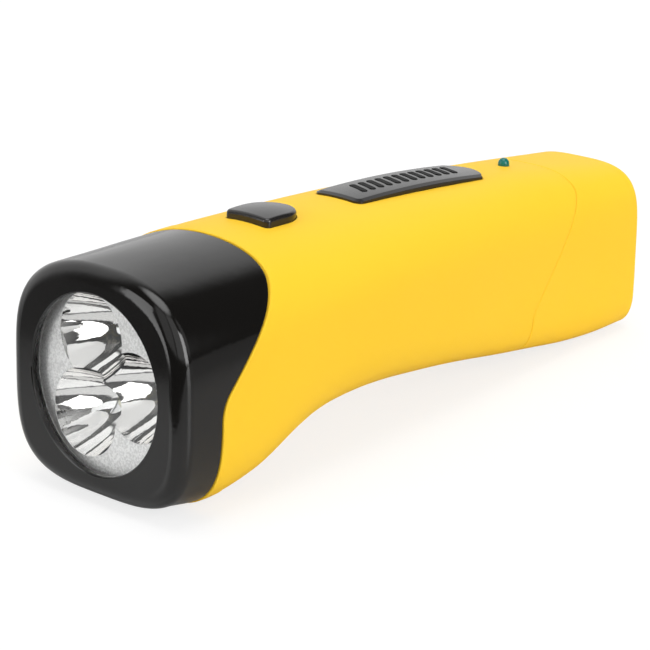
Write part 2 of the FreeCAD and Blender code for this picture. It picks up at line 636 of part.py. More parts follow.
# ---- switch ----
FLANGE_TOP = top_height(BUTTON_MIDDLE, BUTTON_WIDTH / 2 + FLANGE_REACH, -WALL) - 0.3
FLANGE_THICK = 1.3
SWITCH_TOP = SWITCH_FLOOR + SWITCH_HEIGHT
PLUNGER_TOP = SWITCH_TOP + 3.0
CROWN_R = 55.0
BUTTON_ROUND = 0.9


def make_button():
    outside = d_outline(0, FLANGE_TOP - FLANGE_THICK).extrude(at(0, 0, FAR))
    crown = Part.makeSphere(CROWN_R, at(0, BUTTON_MIDDLE, BUTTON_TOP - CROWN_R))
    cap = outside.common(crown)
    cap = cap.makeFillet(BUTTON_ROUND, edges_at(cap, lambda b: b.ZMin > BUTTON_TOP - 1.6))
    flange = d_outline(FLANGE_REACH, FLANGE_TOP - FLANGE_THICK).extrude(at(0, 0, FLANGE_THICK))
    solid = fuse([cap, flange])
    room = d_outline(-BUTTON_WALL, FLANGE_TOP - FLANGE_THICK - 1)
    solid = solid.cut(room.extrude(at(0, 0, BUTTON_TOP - BUTTON_WALL - FLANGE_TOP + FLANGE_THICK + 1)))
    ceiling = BUTTON_TOP - BUTTON_WALL
    pad = post(0, BUTTON_MIDDLE, ceiling - SPRING_PAD, ceiling + BUTTON_WALL / 2, SPRING_COIL + SPRING_WIRE + 0.4)
    stem = post(0, BUTTON_MIDDLE, PLUNGER_TOP, ceiling, 1.9)
    return fuse([solid, pad, stem])


def make_switch_body():
    half = SWITCH_SIZE / 2
    case = box(-half, half, BUTTON_MIDDLE - half, BUTTON_MIDDLE + half, SWITCH_FLOOR, SWITCH_TOP - 0.6)
    lid = box(-half + 0.5, half - 0.5, BUTTON_MIDDLE - half + 0.5, BUTTON_MIDDLE + half - 0.5,
              SWITCH_TOP - 0.6, SWITCH_TOP)
    well = post(0, BUTTON_MIDDLE, SWITCH_TOP - 4.0, SWITCH_TOP + 1, 1.65)
    return fuse([case, lid]).cut(well)


def make_switch_pins():
    """Solder tags out of the back of the switch."""
    half = SWITCH_SIZE / 2
    y = BUTTON_MIDDLE + half
    return [box(x - 0.9, x + 0.9, y, y + 3.0, SWITCH_FLOOR + 2.8, SWITCH_FLOOR + 3.2) for x in (-2.6, 2.6)]


def make_plunger():
    return post(0, BUTTON_MIDDLE, SWITCH_TOP - 1.8, PLUNGER_TOP, 1.6)


def make_button_spring():
    turns = 5
    low, high = SWITCH_TOP + SPRING_WIRE, BUTTON_TOP - BUTTON_WALL - SPRING_PAD - SPRING_WIRE
    helix = Part.makeHelix((high - low) / turns, high - low, SPRING_COIL)
    ring = Part.Wire([Part.Circle(at(SPRING_COIL, 0, 0), at(0, 1, 0.15), SPRING_WIRE).toShape()])
    spring = Part.Wire(helix.Edges).makePipeShell([ring], True, True)
    spring.translate(at(0, BUTTON_MIDDLE, low))
    return spring


def make_switch_bracket():
    """Sled that slides in from the front on rails, with two lugs for its screws."""
    plate = box(-23.5, 23.5, BRACKET_FRONT, BRACKET_REAR, BRACKET_FLOOR, SWITCH_FLOOR)
    tabs = [box(sign * SWITCH_SCREW_X - 3.2, sign * SWITCH_SCREW_X + 3.2, BRACKET_FRONT,
                BRACKET_FRONT + BRACKET_THICK, SWITCH_SCREW_Z - 3.0, BRACKET_FLOOR)
            for sign in (-1, 1)]
    half = SWITCH_SIZE / 2 + 0.1
    fence = box(-half - 1.2, half + 1.2, BUTTON_MIDDLE - half - 1.2, BUTTON_MIDDLE + half,
                SWITCH_FLOOR, SWITCH_FLOOR + 3.0)
    fence = fence.cut(box(-half, half, BUTTON_MIDDLE - half, BUTTON_MIDDLE + half + 1,
                          SWITCH_FLOOR - 0.01, SWITCH_FLOOR + 4))
    solid = fuse([plate, fence] + tabs)
    holes = [rod(sign * SWITCH_SCREW_X, SWITCH_SCREW_Z, BRACKET_FRONT - 1, BRACKET_FRONT + 3,
                 SCREW_R + 0.2) for sign in (-1, 1)]
    return solid.cut(holes).common(hull(-WALL - 0.2))


# ---- badge plate and charge lamp ----
def badge_crown():
    """Everything under the badge's top, which is crowned both ways."""
    ends = (BADGE_FRONT, BADGE_FRONT + BADGE_LENGTH)
    middle = sum(ends) / 2
    low = top_height(middle) + BADGE_PROUD - BADGE_CROWN_R
    arc = Part.Arc(at(0, ends[0], top_height(ends[0]) + BADGE_PROUD_ENDS),
                   at(0, middle, top_height(middle) + BADGE_PROUD),
                   at(0, ends[1], top_height(ends[1]) + BADGE_PROUD_ENDS))
    edges = [arc.toShape(),
             Part.LineSegment(arc.EndPoint, at(0, ends[1], low)).toShape(),
             Part.LineSegment(at(0, ends[1], low), at(0, ends[0], low)).toShape(),
             Part.LineSegment(at(0, ends[0], low), arc.StartPoint).toShape()]
    return Part.Face(Part.Wire(edges)).revolve(at(0, 0, low), at(0, 1, 0), 360)


def make_badge():
    plate = badge_prism(0, 10, FAR).common(badge_crown())
    rim = edges_at(plate, lambda b: b.ZMin > 20 and max(-b.XMin, b.XMax) > 0.01)
    plate = plate.makeChamfer(BADGE_BEVEL_HIGH, BADGE_BEVEL_WIDE, rim)
    plate = plate.cut(hull(-BADGE_SINK + 0.05))
    pegs = [post(0, y, top_height(y) - WALL - 0.8, top_height(y), BADGE_PEG_R) for y in BADGE_PEGS]
    return fuse([plate] + pegs)


def make_charge_led():
    body = post(0, CHARGE_LED_AT, CHARGE_LED_BASE, CHARGE_LED_TOP - CHARGE_LED_R, CHARGE_LED_R)
    dome = Part.makeSphere(CHARGE_LED_R, at(0, CHARGE_LED_AT, CHARGE_LED_TOP - CHARGE_LED_R))
    flange = post(0, CHARGE_LED_AT, CHARGE_LED_BASE, CHARGE_LED_BASE + 1, CHARGE_LED_R + 0.4)
    return fuse([body, dome, flange])


def make_charge_led_leads():
    return [post(x, CHARGE_LED_AT, CHARGE_BOARD_FLOOR - 0.8, CHARGE_LED_BASE, 0.25)
            for x in (-1.27, 1.27)]


# ---- battery ----
LID_THICK = 4.0
TAB_X = 5.0
TAB_Z = -4.0
TAB_LENGTH = 6.0


def make_battery_case():
    half = BATTERY_WIDTH / 2
    case = box(-half, half, BATTERY_FRONT, BATTERY_REAR - LID_THICK, BATTERY_FLOOR, BATTERY_TOP)
    return case.makeFillet(1.2, edges_at(case, lambda b: b.YLength > 10 and b.XLength + b.ZLength < 0.1))


def make_battery_lid():
    half = BATTERY_WIDTH / 2 - 0.5
    return box(-half, half, BATTERY_REAR - LID_THICK, BATTERY_REAR, BATTERY_FLOOR + 0.5, BATTERY_TOP - 0.5)


def make_battery_terminals():
    return [box(x - 2.4, x + 2.4, BATTERY_REAR, BATTERY_REAR + TAB_LENGTH,
                TAB_Z - 0.4, TAB_Z + 0.4) for x in (-TAB_X, TAB_X)]


def make_battery_pad():
    return box(-11, 11, BATTERY_FRONT + 8, BATTERY_REAR - 6, BATTERY_TOP, BATTERY_TOP + PAD_THICK - 0.05)


def make_keeper():
    y0, y1 = BATTERY_FRONT - KEEPER_THICK, BATTERY_FRONT
    bar = box(-KEEPER_SCREW_X - 2.6, KEEPER_SCREW_X + 2.6, y0, y1, KEEPER_Z - 4, KEEPER_Z + 4)
    holes = [rod(x, KEEPER_Z, y0 - 1, y1 + 1, SCREW_R + 0.2) for x in (-KEEPER_SCREW_X, KEEPER_SCREW_X)]
    return bar.cut(holes).common(hull(-WALL - 0.2))


# ---- charger board ----
def make_charge_board():
    half = CHARGE_BOARD_WIDTH / 2
    board = box(-half, half, CHARGE_BOARD_FRONT, CHARGE_BOARD_REAR, CHARGE_BOARD_FLOOR, BOARD_TOP)
    return board.cut([post(x, CHARGE_LED_AT, 0, FAR, 0.35) for x in (-1.27, 1.27)])


def make_capacitor():
    front = CHARGE_BOARD_FRONT + 2.0
    block = box(-9, 9, front, front + 6.5, BOARD_TOP, BOARD_TOP + 11.5)
    return block.makeFillet(0.8, block.Edges)


def make_diodes():
    """Bridge of four axial diodes lying on the board."""
    diodes = []
    for k in range(4):
        y, x = CHARGE_BOARD_FRONT + 10.4 + 3.2 * (k % 2), -7.0 if k < 2 else 7.0
        body = Part.makeCylinder(1.3, 5.0, at(x - 2.5, y, BOARD_TOP + 1.35), at(1, 0, 0))
        legs = [box(x + s * 4.0 - 0.35, x + s * 4.0 + 0.35, y - 0.35, y + 0.35, BOARD_TOP, BOARD_TOP + 1.7)
                for s in (-1, 1)]
        bars = [box(min(x, x + s * 4.35), max(x, x + s * 4.35), y - 0.35, y + 0.35,
                    BOARD_TOP + 1.0, BOARD_TOP + 1.7) for s in (-1, 1)]
        diodes.append(fuse([body] + legs + bars))
    return diodes


def make_resistors():
    resistors = []
    front, rear = CHARGE_BOARD_FRONT + 16.4, CHARGE_BOARD_FRONT + 24.0
    for x in (-9.0, 9.0):
        body = rod(x, BOARD_TOP + 1.3, front + 0.7, rear - 0.7, 1.2)
        legs = [box(x - 0.3, x + 0.3, y - 0.3, y + 0.3, BOARD_TOP, BOARD_TOP + 1.6) for y in (front, rear)]
        bar = box(x - 0.3, x + 0.3, front - 0.3, rear + 0.3, BOARD_TOP + 1.0, BOARD_TOP + 1.6)
        resistors.append(fuse([body, bar] + legs))
    return resistors


# ---- plug block, blades and tail cap ----
TUBE_OUT_R = 3.7
TUBE_IN_R = SCREW_HEAD_R + 0.4
TUBE_START = PLUG_BOSS_END + 0.1
TUBE_FLOOR = PLUG_BOSS_END + 2.4


PLUG_HALF = half_width(PLUG_FACE) - WALL - PLUG_CLEAR
PLUG_TOP = smooth(TOP_LINE, PLUG_FACE) - WALL - PLUG_CLEAR_TOP
PLUG_LOW = smooth(UNDERSIDE, CAP_SEAM_LOW) + WALL + PLUG_CLEAR_LOW
PLUG_FRONT = CAP_SEAM_LOW - PLUG_ENTRY


def plug_prism(inset, start, end):
    """Rounded block that the cap slides over, inset all round."""
    half, low, high = PLUG_HALF - inset, PLUG_LOW + inset, PLUG_TOP - inset
    points = [at(-half, start, low), at(half, start, low), at(half, start, high), at(-half, start, high)]
    upper, lower = PLUG_CORNER_TOP - inset, PLUG_CORNER_LOW - inset
    outline = rounded(points, [lower, lower, upper, upper], True)
    return Part.Face(outline).extrude(at(0, end - start, 0))


def make_plug_block():
    outside = plug_prism(0, PLUG_FRONT, PLUG_FACE)
    outside = outside.makeFillet(PLUG_EDGE_ROUND, edges_at(outside, lambda b: b.YMin > PLUG_FACE - 0.01))
    cup = outside.cut([plug_prism(PLUG_WALL, PLUG_FRONT - 1, PLUG_WALL_FRONT),
                       in_front_of(CAP_SEAM, -PLUG_ENTRY)])
    parts = [cup]
    edge = CHARGE_BOARD_WIDTH / 2
    grip = half_width(PLUG_FACE) - WALL - GRIP_GAP
    for sign in (-1, 1):
        x0, x1 = sorted([sign * (edge - 1.2), sign * (edge + 1.6)])
        parts.append(box(x0, x1, CHARGE_BOARD_FRONT + 6, PLUG_WALL_FRONT + 0.5,
                         CHARGE_BOARD_FLOOR - 1.6, BOARD_TOP + 1.6))
        parts.append(rod(sign * PLUG_SCREW_X, PLUG_SCREW_Z, TUBE_START, PLUG_FACE - 0.5, TUBE_OUT_R))
        x0, x1 = sorted([sign * (PLUG_HALF - 0.5), sign * grip])
        parts += [box(x0, x1, PLUG_FACE - 11, PLUG_FACE - 1, z - 0.6, z + 0.6) for z in (0, 8)]
    cuts = [box(-edge - 0.1, edge + 0.1, CHARGE_BOARD_FRONT, CHARGE_BOARD_REAR + 0.1,
                CHARGE_BOARD_FLOOR - 0.05, BOARD_TOP + 0.05)]
    for sign in (-1, 1):
        x = sign * PLUG_SCREW_X
        cuts.append(rod(x, PLUG_SCREW_Z, TUBE_FLOOR, PLUG_FACE + 1, TUBE_IN_R))
        cuts.append(rod(x, PLUG_SCREW_Z, PLUG_BOSS_END - 1, TUBE_FLOOR + 0.5, SCREW_R + 0.2))
        x = sign * BLADE_SPACING / 2
        cuts.append(box(x - BLADE_THICK / 2 - 0.02, x + BLADE_THICK / 2 + 0.02, PLUG_WALL_FRONT - 1,
                        PLUG_FACE + 1, -BLADE_WIDTH / 2 - 0.02, BLADE_WIDTH / 2 + 0.02))
    return fuse(parts).cut(cuts)


def make_blades():
    blades = []
    half = BLADE_WIDTH / 2
    tip = PLUG_FACE + BLADE_LENGTH
    for sign in (-1, 1):
        x0, x1 = sign * BLADE_SPACING / 2 - BLADE_THICK / 2, sign * BLADE_SPACING / 2 + BLADE_THICK / 2
        blade = box(x0, x1, PLUG_WALL_FRONT, tip, -half, half)
        ends = edges_at(blade, lambda b: b.YMin > tip - 0.01 and b.ZLength < 0.01)
        blade = blade.makeChamfer(BLADE_POINT, ends)
        tab = box(x0, x1, PLUG_WALL_FRONT - BLADE_TAB, PLUG_WALL_FRONT, -2.0, 2.0)
        stop = box(x0, x1, PLUG_WALL_FRONT - 1.5, PLUG_WALL_FRONT, -half - 1.2, half + 1.2)
        hole = Part.makeCylinder(BLADE_HOLE_R, 4, at(x0 - 1, tip - 4.8, 0), at(1, 0, 0))
        blades.append(fuse([blade, tab, stop]).cut(hole))
    return blades


def make_tail_cap():
    ahead = in_front_of(CAP_SEAM, SEAM_GAP / 2)
    shell = hull(0).cut(ahead)
    shell = shell.makeFillet(SEAM_ROUND, rim_edges(shell, ahead, WALL))
    shell = shell.makeFillet(TAIL_ROUND, edges_at(shell, lambda b: b.YMin > LENGTH - 0.01))
    return shell.cut(hull(-WALL, -1, LENGTH - WALL))


# ---- wires: each run starts and ends square to what it is soldered to ----
END_GAP = 0.05
SWITCH_TAG_Y = BUTTON_MIDDLE + SWITCH_SIZE / 2 + 3.0
SWITCH_TAG_Z = SWITCH_FLOOR + 3.0


def battery_wire(sign):
    """From a battery tab back and up to the underside of the charger board."""
    x, y = sign * TAB_X, BATTERY_REAR + TAB_LENGTH
    return wire_run([at(x, y + END_GAP, TAB_Z), at(x, y + 4.6, TAB_Z), at(x, y + 8.6, TAB_Z + 4.2),
                     at(x, y + 8.6, CHARGE_BOARD_FLOOR - END_GAP)])


def above_battery(sign, y, inset):
    """Point halfway between the battery and the roof, a given way in from the side."""
    x = half_width(y) - inset
    return at(sign * x, y, (BATTERY_TOP + top_height(y, x, -WALL)) / 2)


def from_charge_board(sign):
    """Up from a corner of the charger board and forwards over the battery's rear edge."""
    x, y = sign * (CHARGE_BOARD_WIDTH / 2 - 3.0), CHARGE_BOARD_FRONT + 9.5
    over = above_battery(sign, CHARGE_BOARD_FRONT - 4.5, 11.0)
    return [at(x, y, BOARD_TOP + END_GAP), at(x, y, BOARD_TOP + 5.5),
            at(x * 1.04, y - 3.7, over.z - 1.2), over]


def make_red_wires():
    tag = SWITCH_TAG_Y + END_GAP
    feed = from_charge_board(1) + [
        above_battery(1, 0.5 * (CHARGE_BOARD_FRONT + BATTERY_FRONT), 11.0),
        above_battery(1, BATTERY_FRONT + 14, 13.0), at(10, SWITCH_TAG_Y + 10, BATTERY_TOP + 4.6),
        at(4.8, SWITCH_TAG_Y + 6, SWITCH_TAG_Z + 1.2), at(2.6, SWITCH_TAG_Y + 2.8, SWITCH_TAG_Z),
        at(2.6, tag, SWITCH_TAG_Z)]
    lamp = [at(-2.6, tag, SWITCH_TAG_Z), at(-2.6, SWITCH_TAG_Y + 3.4, SWITCH_TAG_Z),
            at(-5.5, SWITCH_TAG_Y + 7.6, SWITCH_TAG_Z + 1.8),
            at(-10.5, SWITCH_TAG_Y + 8.4, SWITCH_TAG_Z + 4.1), at(-14.2, 69, SWITCH_TAG_Z + 5.1),
            at(-15.5, 60, SWITCH_TAG_Z + 4.9), at(-15.2, 49, SWITCH_TAG_Z + 1.9), at(-13.2, 38, 11.5),
            at(-11, BOARD_BACK + 8.5, 6.8), at(-10, BOARD_BACK + 4.2, 5), at(-10, BOARD_BACK + END_GAP, 5)]
    return [battery_wire(1), wire_run(feed), wire_run(lamp)]


def make_black_wires():
    lamp = from_charge_board(-1) + [
        above_battery(-1, 0.5 * (CHARGE_BOARD_FRONT + BATTERY_FRONT) + 4, 10.0),
        above_battery(-1, BATTERY_FRONT + 18, 9.8), at(-18.3, 73, SWITCH_TAG_Z + 2.7),
        at(-18.4, 60, SWITCH_TAG_Z + 1.7), at(-17.8, 46.5, SWITCH_TAG_Z), at(-16.6, 38.5, 11.5),
        at(-13, BOARD_BACK + 10, 2), at(-7, BOARD_BACK + 6.5, -5.5), at(-1.5, BOARD_BACK + 4, -9.5),
        at(-1.5, BOARD_BACK + END_GAP, -9.5)]
    return [battery_wire(-1), wire_run(lamp)]


def make_mains_wires():
    y = PLUG_WALL_FRONT - BLADE_TAB
    return [wire_run([at(x, y - END_GAP, 0), at(x, y - 5, 0), at(x, y - 8.5, 3.5),
                      at(x, y - 8.5, CHARGE_BOARD_FLOOR - END_GAP)])
            for x in (-BLADE_SPACING / 2, BLADE_SPACING / 2)]


# ---- write every node ----
save("bezel", make_bezel())
save("body_shell", make_barrel())
save("lens", make_lens())
save("reflector", make_reflector())
save("led_board", make_led_board())
save("led_board_screws", [screw(*round_place(angle, BOSS_RADIUS), BOARD_BACK, 6.0) for angle in BOSS_ANGLES])
for label, angle in zip(("top", "left", "right"), CUP_ANGLES):
    save(f"white_led_{label}", make_white_led(angle))
save("led_leads", make_led_leads())
save("led_resistors", make_led_resistors())
save("switch_button", make_button())
save("switch_body", make_switch_body())
save("switch_pins", make_switch_pins())
save("switch_plunger", make_plunger())
save("button_spring", make_button_spring())
save("switch_bracket", make_switch_bracket())
save("switch_screws", [screw(sign * SWITCH_SCREW_X, SWITCH_SCREW_Z, BRACKET_FRONT, 8.0, -1)
                       for sign in (-1, 1)])
save("badge_plate", make_badge())
save("charge_led", make_charge_led())
save("charge_led_leads", make_charge_led_leads())
save("battery_case", make_battery_case())
save("battery_lid", make_battery_lid())
save("battery_terminals", make_battery_terminals())
save("battery_pad", make_battery_pad())
save("battery_keeper", make_keeper())
save("keeper_screws", [screw(x, KEEPER_Z, BATTERY_FRONT - KEEPER_THICK, 8.0, -1)
                       for x in (-KEEPER_SCREW_X, KEEPER_SCREW_X)])
save("charge_board", make_charge_board())
save("dropper_capacitor", make_capacitor())
save("rectifier_diodes", make_diodes())
save("charge_resistors", make_resistors())
save("plug_block", make_plug_block())
save("plug_blades", make_blades())
save("plug_screws", [screw(x, PLUG_SCREW_Z, TUBE_FLOOR, 10.0) for x in (-PLUG_SCREW_X, PLUG_SCREW_X)])
save("tail_cap", make_tail_cap())
save("red_wires", make_red_wires())
save("black_wires", make_black_wires())
save("mains_wires", make_mains_wires())
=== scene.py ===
import math

import bpy
from mathutils import Matrix, Vector


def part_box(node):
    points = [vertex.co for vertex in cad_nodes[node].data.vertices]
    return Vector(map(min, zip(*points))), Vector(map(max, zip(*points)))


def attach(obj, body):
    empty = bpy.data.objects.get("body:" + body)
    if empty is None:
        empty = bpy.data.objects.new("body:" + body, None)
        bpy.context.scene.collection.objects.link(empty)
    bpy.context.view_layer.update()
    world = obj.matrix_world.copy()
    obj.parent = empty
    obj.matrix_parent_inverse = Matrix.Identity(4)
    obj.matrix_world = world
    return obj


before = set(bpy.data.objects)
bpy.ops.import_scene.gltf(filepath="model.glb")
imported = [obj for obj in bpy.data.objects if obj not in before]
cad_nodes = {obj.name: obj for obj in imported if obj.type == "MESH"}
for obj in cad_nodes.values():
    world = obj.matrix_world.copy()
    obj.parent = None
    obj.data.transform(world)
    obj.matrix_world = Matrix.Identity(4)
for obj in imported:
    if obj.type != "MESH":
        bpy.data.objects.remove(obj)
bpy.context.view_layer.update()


# ---- barrel and tail cap ----
# The barrel is one injection moulding in yellow ABS, open at both ends, and the tail cap is a
# second one in the same plastic. The tool's fine spark-eroded surface leaves both satin. The cap
# is held on the plug block by friction alone.
class Field:
    """A value that varies over a surface. Sums and products of fields add their own Math nodes."""

    def __init__(self, recipe, socket):
        self.recipe, self.socket = recipe, socket

    def maths(self, operation, first, second=0.0):
        return self.recipe.node("ShaderNodeMath", {"operation": operation}, {0: first, 1: second})

    def ramp(self, start, end, low=0.0, high=1.0):
        """Ease from low to high as this field goes from start to end."""
        return self.recipe.node("ShaderNodeMapRange", {"interpolation_type": "SMOOTHSTEP"},
                                {0: self, 1: start, 2: end, 3: low, 4: high})

    def beside(self, output):
        """Another output of the node that made this field."""
        return Field(self.recipe, self.socket.node.outputs[output])

    def __add__(self, other):
        return self.maths("ADD", self, other)

    def __sub__(self, other):
        return self.maths("SUBTRACT", self, other)

    def __rsub__(self, other):
        return self.maths("SUBTRACT", other, self)

    def __mul__(self, other):
        return self.maths("MULTIPLY", self, other)

    def __gt__(self, other):
        return self.maths("GREATER_THAN", self, other)

    __radd__ = __add__
    __rmul__ = __mul__


class Recipe:
    """A node tree that is built one node at a time."""

    def __init__(self, tree):
        self.tree = tree

    def node(self, kind, settings=None, sockets=None, output=0):
        """Add a node: its settings first, then the values or links of its sockets."""
        made = self.tree.nodes.new(kind)
        for name, value in (settings or {}).items():
            setattr(made, name, value)
        for name, value in (sockets or {}).items():
            if isinstance(value, Field):
                self.tree.links.new(value.socket, made.inputs[name])
            else:
                made.inputs[name].default_value = value
        return Field(self, made.outputs[output])


class Finish(Recipe):
    """One procedural finish: a Principled shader and the nodes that vary it over the surface."""

    def __init__(self, name, colour, **even):
        self.material = bpy.data.materials.new(name)
        self.material.use_nodes = True
        super().__init__(self.material.node_tree)
        self.shader = self.tree.nodes["Principled BSDF"]
        self.shader.inputs["Base Color"].default_value = (*colour, 1)
        for socket, value in even.items():
            label = socket.replace("_", " ").title().replace("Ior", "IOR")
            self.shader.inputs[label].default_value = value

    def place(self):
        return self.node("ShaderNodeTexCoord", output="Object")

    def axis(self, letter):
        return self.node("ShaderNodeSeparateXYZ", {}, {0: self.place()}, letter)

    def grain(self, per_metre, detail=2.0, stretch=(1.0, 1.0, 1.0)):
        """Soft noise from 0 to 1 with about per_metre grains in each metre."""
        spread = self.node("ShaderNodeMapping", {}, {"Vector": self.place(), "Scale": stretch})
        return self.node("ShaderNodeTexNoise", {}, {"Vector": spread, "Scale": per_metre, "Detail": detail})

    def blend(self, share, first, second):
        """Colour between two, each a plain colour or a field."""
        pair = [value if isinstance(value, Field) else (*value, 1) for value in (first, second)]
        return self.node("ShaderNodeMix", {"data_type": "RGBA"}, {0: share, 6: pair[0], 7: pair[1]}, 2)

    def vary(self, socket, field):
        self.tree.links.new(field.socket, self.shader.inputs[socket])

    def relief(self, height, metres):
        """Raise and lower the surface by height, a field from 0 to 1, times metres."""
        self.vary("Normal", self.node("ShaderNodeBump", {},
                                      {"Height": height, "Distance": metres, "Strength": 1.0}))

    def coat(self, *pieces):
        """Give every slot of these objects this finish."""
        for piece in pieces:
            if not piece.material_slots:
                piece.data.materials.append(self.material)
            for slot in piece.material_slots:
                slot.material = self.material


YELLOW = (0.98, 0.615, 0.042)
YELLOW_DEEP = (0.965, 0.598, 0.034)
SPARK_GRAIN = 2600.0
SPARK_DEPTH = 0.000012

yellow_abs = Finish("yellow_abs", YELLOW, ior=1.5, specular_ior_level=0.06)
clouds = yellow_abs.grain(35.0, 3.0)
yellow_abs.vary("Base Color", yellow_abs.blend(clouds, YELLOW, YELLOW_DEEP))
yellow_abs.vary("Roughness", yellow_abs.grain(90.0, 4.0) * 0.10 + 0.42)
yellow_abs.relief(yellow_abs.grain(SPARK_GRAIN, 1.0), SPARK_DEPTH)
yellow_abs.coat(cad_nodes["body_shell"], cad_nodes["tail_cap"])


# ---- bezel ----
# Gloss black ABS moulding from a polished tool. It carries the lens and the reflector and snaps
# into the barrel's front with four lugs.
BEZEL_BLACK = (0.005, 0.0045, 0.004)
RIPPLE = 220.0
RIPPLE_DEPTH = 0.000006

bezel_abs = Finish("bezel_abs", BEZEL_BLACK, ior=1.47)
bezel_abs.vary("Roughness", bezel_abs.grain(60.0, 3.0) * 0.05 + 0.085)
bezel_abs.relief(bezel_abs.grain(RIPPLE, 0.0), RIPPLE_DEPTH)
bezel_abs.coat(cad_nodes["bezel"])


# ---- lens ----
# Clear acrylic disc, polished on both faces, that drops into the bezel's pocket and is held
# there by four hooks.
def clear_sheet(name, tint, ior):
    """Thin clear plastic: light goes straight through, apart from what the surface mirrors."""
    finish = Finish(name, tint)
    through = finish.node("ShaderNodeBsdfTransparent", {}, {"Color": (*tint, 1)})
    smears = finish.grain(140.0, 3.0) * 0.02 + 0.015
    mirror = finish.node("ShaderNodeBsdfGlossy", {}, {"Color": (1, 1, 1, 1), "Roughness": smears})
    straight_on = ((ior - 1) / (ior + 1)) ** 2
    slant = finish.node("ShaderNodeLayerWeight", {}, {"Blend": 0.5}, "Facing")
    share = slant.maths("POWER", slant, 5.0) * (1.0 - straight_on) + straight_on
    mixed = finish.node("ShaderNodeMixShader", {}, {0: share, 1: through, 2: mirror})
    output = finish.tree.nodes["Material Output"]
    finish.tree.links.new(mixed.socket, output.inputs["Surface"])
    return finish


ACRYLIC_IOR = 1.49

lens_acrylic = clear_sheet("lens_acrylic", (0.985, 0.99, 0.99), ACRYLIC_IOR)
lens_acrylic.coat(cad_nodes["lens"])


# ---- reflector ----
# ABS moulding metallised in vacuum, held by the bezel's hooks behind the lens. The three cups are
# polished to a mirror, and the flat plate between them, in front of FROSTED, is frosted in the tool.
FROSTED = 0.002
CUP_ROUGHNESS = 0.03
PLATE_ROUGHNESS = 0.56
SPARKLES = 1700.0
SPARKLE_DEPTH = 0.00004
SILVER = (0.90, 0.895, 0.885)
PLATE_BRIGHT = (0.96, 0.95, 0.94)
PLATE_DULL = (0.80, 0.79, 0.78)

metallised = Finish("metallised", SILVER, metallic=1.0)
cup_share = metallised.axis("Y") > FROSTED
sparkle = metallised.grain(SPARKLES, 2.0).ramp(0.36, 0.64)
frost = sparkle * (1.0 - cup_share)
metallised.vary("Roughness", cup_share * (CUP_ROUGHNESS - PLATE_ROUGHNESS) + frost * 0.08 + PLATE_ROUGHNESS)
metallised.vary("Base Color", metallised.blend(frost, PLATE_BRIGHT, PLATE_DULL))
metallised.relief(frost, SPARKLE_DEPTH)
metallised.coat(cad_nodes["reflector"])


# ---- LEDs and their board ----
# Three 5 mm white LEDs in clear epoxy over a yellow phosphor cup, soldered into a green
# glass-fibre board that three screws hold to the reflector's pillars.
EPOXY_IOR = 1.53
LED_SIDES = ("top", "left", "right")

led_epoxy = clear_sheet("led_epoxy", (0.95, 0.94, 0.86), EPOXY_IOR)
led_epoxy.coat(*[cad_nodes[f"white_led_{side}"] for side in LED_SIDES])

# Radius and depth of the phosphor's profile, from the middle of its face to the foot of its cup.
PHOSPHOR_BEHIND_TIP = 0.0042
PHOSPHOR_CUP = [(0.0, -0.00022), (0.0006, -0.00018), (0.0011, -0.00008), (0.00142, 0.0), (0.0016, 0.00002),
                (0.0016, 0.00022), (0.00125, 0.0011), (0.0008, 0.0016), (0.0, 0.0016)]
TURNS = 32

points, faces = [], []
for side in LED_SIDES:
    led_low, led_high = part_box(f"white_led_{side}")
    x, z = (led_low[0] + led_high[0]) / 2, (led_low[2] + led_high[2]) / 2
    tip, first = led_low[1] + PHOSPHOR_BEHIND_TIP, len(points)
    points.append((x, tip + PHOSPHOR_CUP[0][1], z))
    for radius, depth in PHOSPHOR_CUP[1:-1]:
        points += [(x + radius * math.cos(2 * math.pi * k / TURNS), tip + depth,
                    z + radius * math.sin(2 * math.pi * k / TURNS)) for k in range(TURNS)]
    last = len(points)
    points.append((x, tip + PHOSPHOR_CUP[-1][1], z))
    for k in range(TURNS):
        after = (k + 1) % TURNS
        faces.append((first, first + 1 + k, first + 1 + after))
        faces.append((last, last - TURNS + after, last - TURNS + k))
        for ring in range(len(PHOSPHOR_CUP) - 3):
            near = first + 1 + ring * TURNS
            faces.append((near + k, near + TURNS + k, near + TURNS + after, near + after))
mesh = bpy.data.meshes.new("led_phosphor")
mesh.from_pydata(points, [], faces)
mesh.polygons.foreach_set("use_smooth", [True] * len(faces))
led_phosphor = bpy.data.objects.new("led_phosphor", mesh)
bpy.context.scene.collection.objects.link(led_phosphor)
phosphor_gel = Finish("phosphor_gel", (0.85, 0.72, 0.12), roughness=0.5)
crumbs = phosphor_gel.grain(4000.0, 2.0)
phosphor_gel.vary("Base Color", phosphor_gel.blend(crumbs, (0.88, 0.76, 0.16), (0.80, 0.64, 0.07)))
phosphor_gel.coat(led_phosphor)
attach(led_phosphor, "torch")

BOARD_GREEN = (0.02, 0.16, 0.06)
BOARD_GREEN_PALE = (0.025, 0.19, 0.07)
TRACK_GREEN = (0.05, 0.28, 0.11)

solder_mask = Finish("solder_mask", BOARD_GREEN, roughness=0.3)
tracks = solder_mask.node("ShaderNodeTexBrick", {"offset": 0.5},
                          {"Vector": solder_mask.place(), "Scale": 260.0, "Mortar Size": 0.05,
                           "Color1": (*BOARD_GREEN, 1), "Color2": (*BOARD_GREEN_PALE, 1),
                           "Mortar": (*TRACK_GREEN, 1)})
solder_mask.vary("Base Color", tracks)
solder_mask.relief(solder_mask.grain(900.0, 1.0), 0.00002)
solder_mask.coat(cad_nodes["led_board"], cad_nodes["charge_board"])


